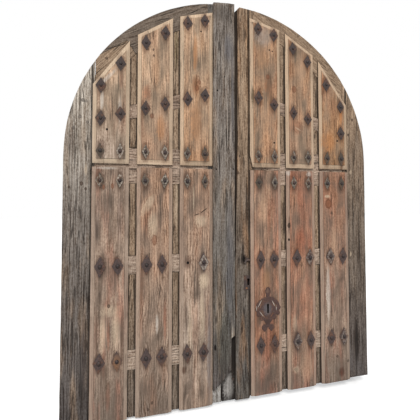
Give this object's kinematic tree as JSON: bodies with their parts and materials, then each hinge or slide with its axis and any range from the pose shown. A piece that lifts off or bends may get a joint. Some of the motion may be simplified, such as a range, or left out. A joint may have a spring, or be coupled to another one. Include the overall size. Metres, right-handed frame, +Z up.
{
  "type": "arched double door",
  "caption": "Old two-leaf timber door under a round arch, boards held by forged nails on diamond plates, with cover strip, keyhole plates, bolts and a pegged frame behind.",
  "frame": {"origin": "middle of the door in width and depth, at the height of the left post's foot", "axes": "+X to the right seen from the front, +Y from the front to the back, +Z up"},
  "size_m": [2.3, 0.189, 2.9019],
  "materials": {
    "upper_boards": "weathered tan boards with rust stains",
    "lower_boards": "weathered brown and grey boards",
    "framing_timber": "grey weathered framing",
    "strip_timber": "dark olive grey weathered strip",
    "frame_timber": "old oiled frame timber",
    "iron": "forged iron, dark brown with rust"
  },
  "bodies": {
    "frame": {"frame_left_post": "frame_timber", "frame_right_post": "frame_timber", "frame_arch_left_felloe": "frame_timber", "frame_arch_crown_felloe": "frame_timber", "frame_arch_right_felloe": "frame_timber", "frame_pegs": "frame_timber", "left_hinge_pintles": "iron", "right_hinge_pintles": "iron"},
    "left_leaf": {"left_hanging_stile": "framing_timber", "left_meeting_stile": "framing_timber", "left_slanted_rail": "framing_timber", "left_middle_rail": "framing_timber", "left_waist_rail": "framing_timber", "left_foot_rail": "framing_timber", "left_upper_muntins": "framing_timber", "left_lower_muntins": "framing_timber", "left_arch_lower_felloe": "framing_timber", "left_arch_upper_felloe": "framing_timber", "left_upper_board_1": "upper_boards", "left_upper_board_2": "upper_boards", "left_upper_board_3": "upper_boards", "left_lower_board_1": "lower_boards", "left_lower_board_2": "lower_boards", "left_lower_board_3": "lower_boards", "cover_strip": "strip_timber", "left_diamond_plates": "iron", "left_forged_nails": "iron", "left_strap_hinges": "iron", "bolt_keepers": "iron"},
    "right_leaf": {"right_hanging_stile": "framing_timber", "right_meeting_stile": "framing_timber", "right_slanted_rail": "framing_timber", "right_middle_rail": "framing_timber", "right_waist_rail": "framing_timber", "right_foot_rail": "framing_timber", "right_upper_muntins": "framing_timber", "right_lower_muntins": "framing_timber", "right_arch_felloe": "framing_timber", "right_upper_board_4": "upper_boards", "right_upper_board_5": "upper_boards", "right_upper_board_6": "upper_boards", "right_lower_board_4": "lower_boards", "right_lower_board_5": "lower_boards", "right_lower_board_6": "lower_boards", "right_diamond_plates": "iron", "right_forged_nails": "iron", "right_strap_hinges": "iron", "keyhole_escutcheon": "iron", "small_keyhole_plate": "iron", "pull_staple": "iron", "lock_case": "iron", "small_lock_case": "iron", "bolt_guides": "iron"},
    "lock_bolt": {"lock_bolt": "iron"},
    "small_lock_bolt": {"small_lock_bolt": "iron"},
    "foot_bolt": {"foot_bolt": "iron"},
    "head_bolt": {"head_bolt": "iron"}
  },
  "joints": [
    {"name": "left_leaf_swing", "type": "hinge", "parent": "frame", "child": "left_leaf", "pos_m": [-1.128, 0.0185, 1.016], "axis": [0, 0, -1], "range_deg": [0, 100]},
    {"name": "right_leaf_swing", "type": "hinge", "parent": "frame", "child": "right_leaf", "pos_m": [1.128, 0.0185, 1.016], "axis": [0, 0, 1], "range_deg": [0, 85]},
    {"name": "lock_bolt_slide", "type": "slide", "parent": "right_leaf", "child": "lock_bolt", "axis": [-1, 0, 0], "range_m": [0, 0.095]},
    {"name": "small_lock_bolt_slide", "type": "slide", "parent": "right_leaf", "child": "small_lock_bolt", "axis": [-1, 0, 0], "range_m": [0, 0.07]},
    {"name": "foot_bolt_slide", "type": "slide", "parent": "right_leaf", "child": "foot_bolt", "axis": [0, 0, -1], "range_m": [0, 0.055]},
    {"name": "head_bolt_slide", "type": "slide", "parent": "right_leaf", "child": "head_bolt", "axis": [0, 0, 1], "range_m": [0, 0.055]}
  ],
  "couplings": [
    {"joint": "right_leaf_swing", "follows": "left_leaf_swing", "ratio": 0.85}
  ]
}
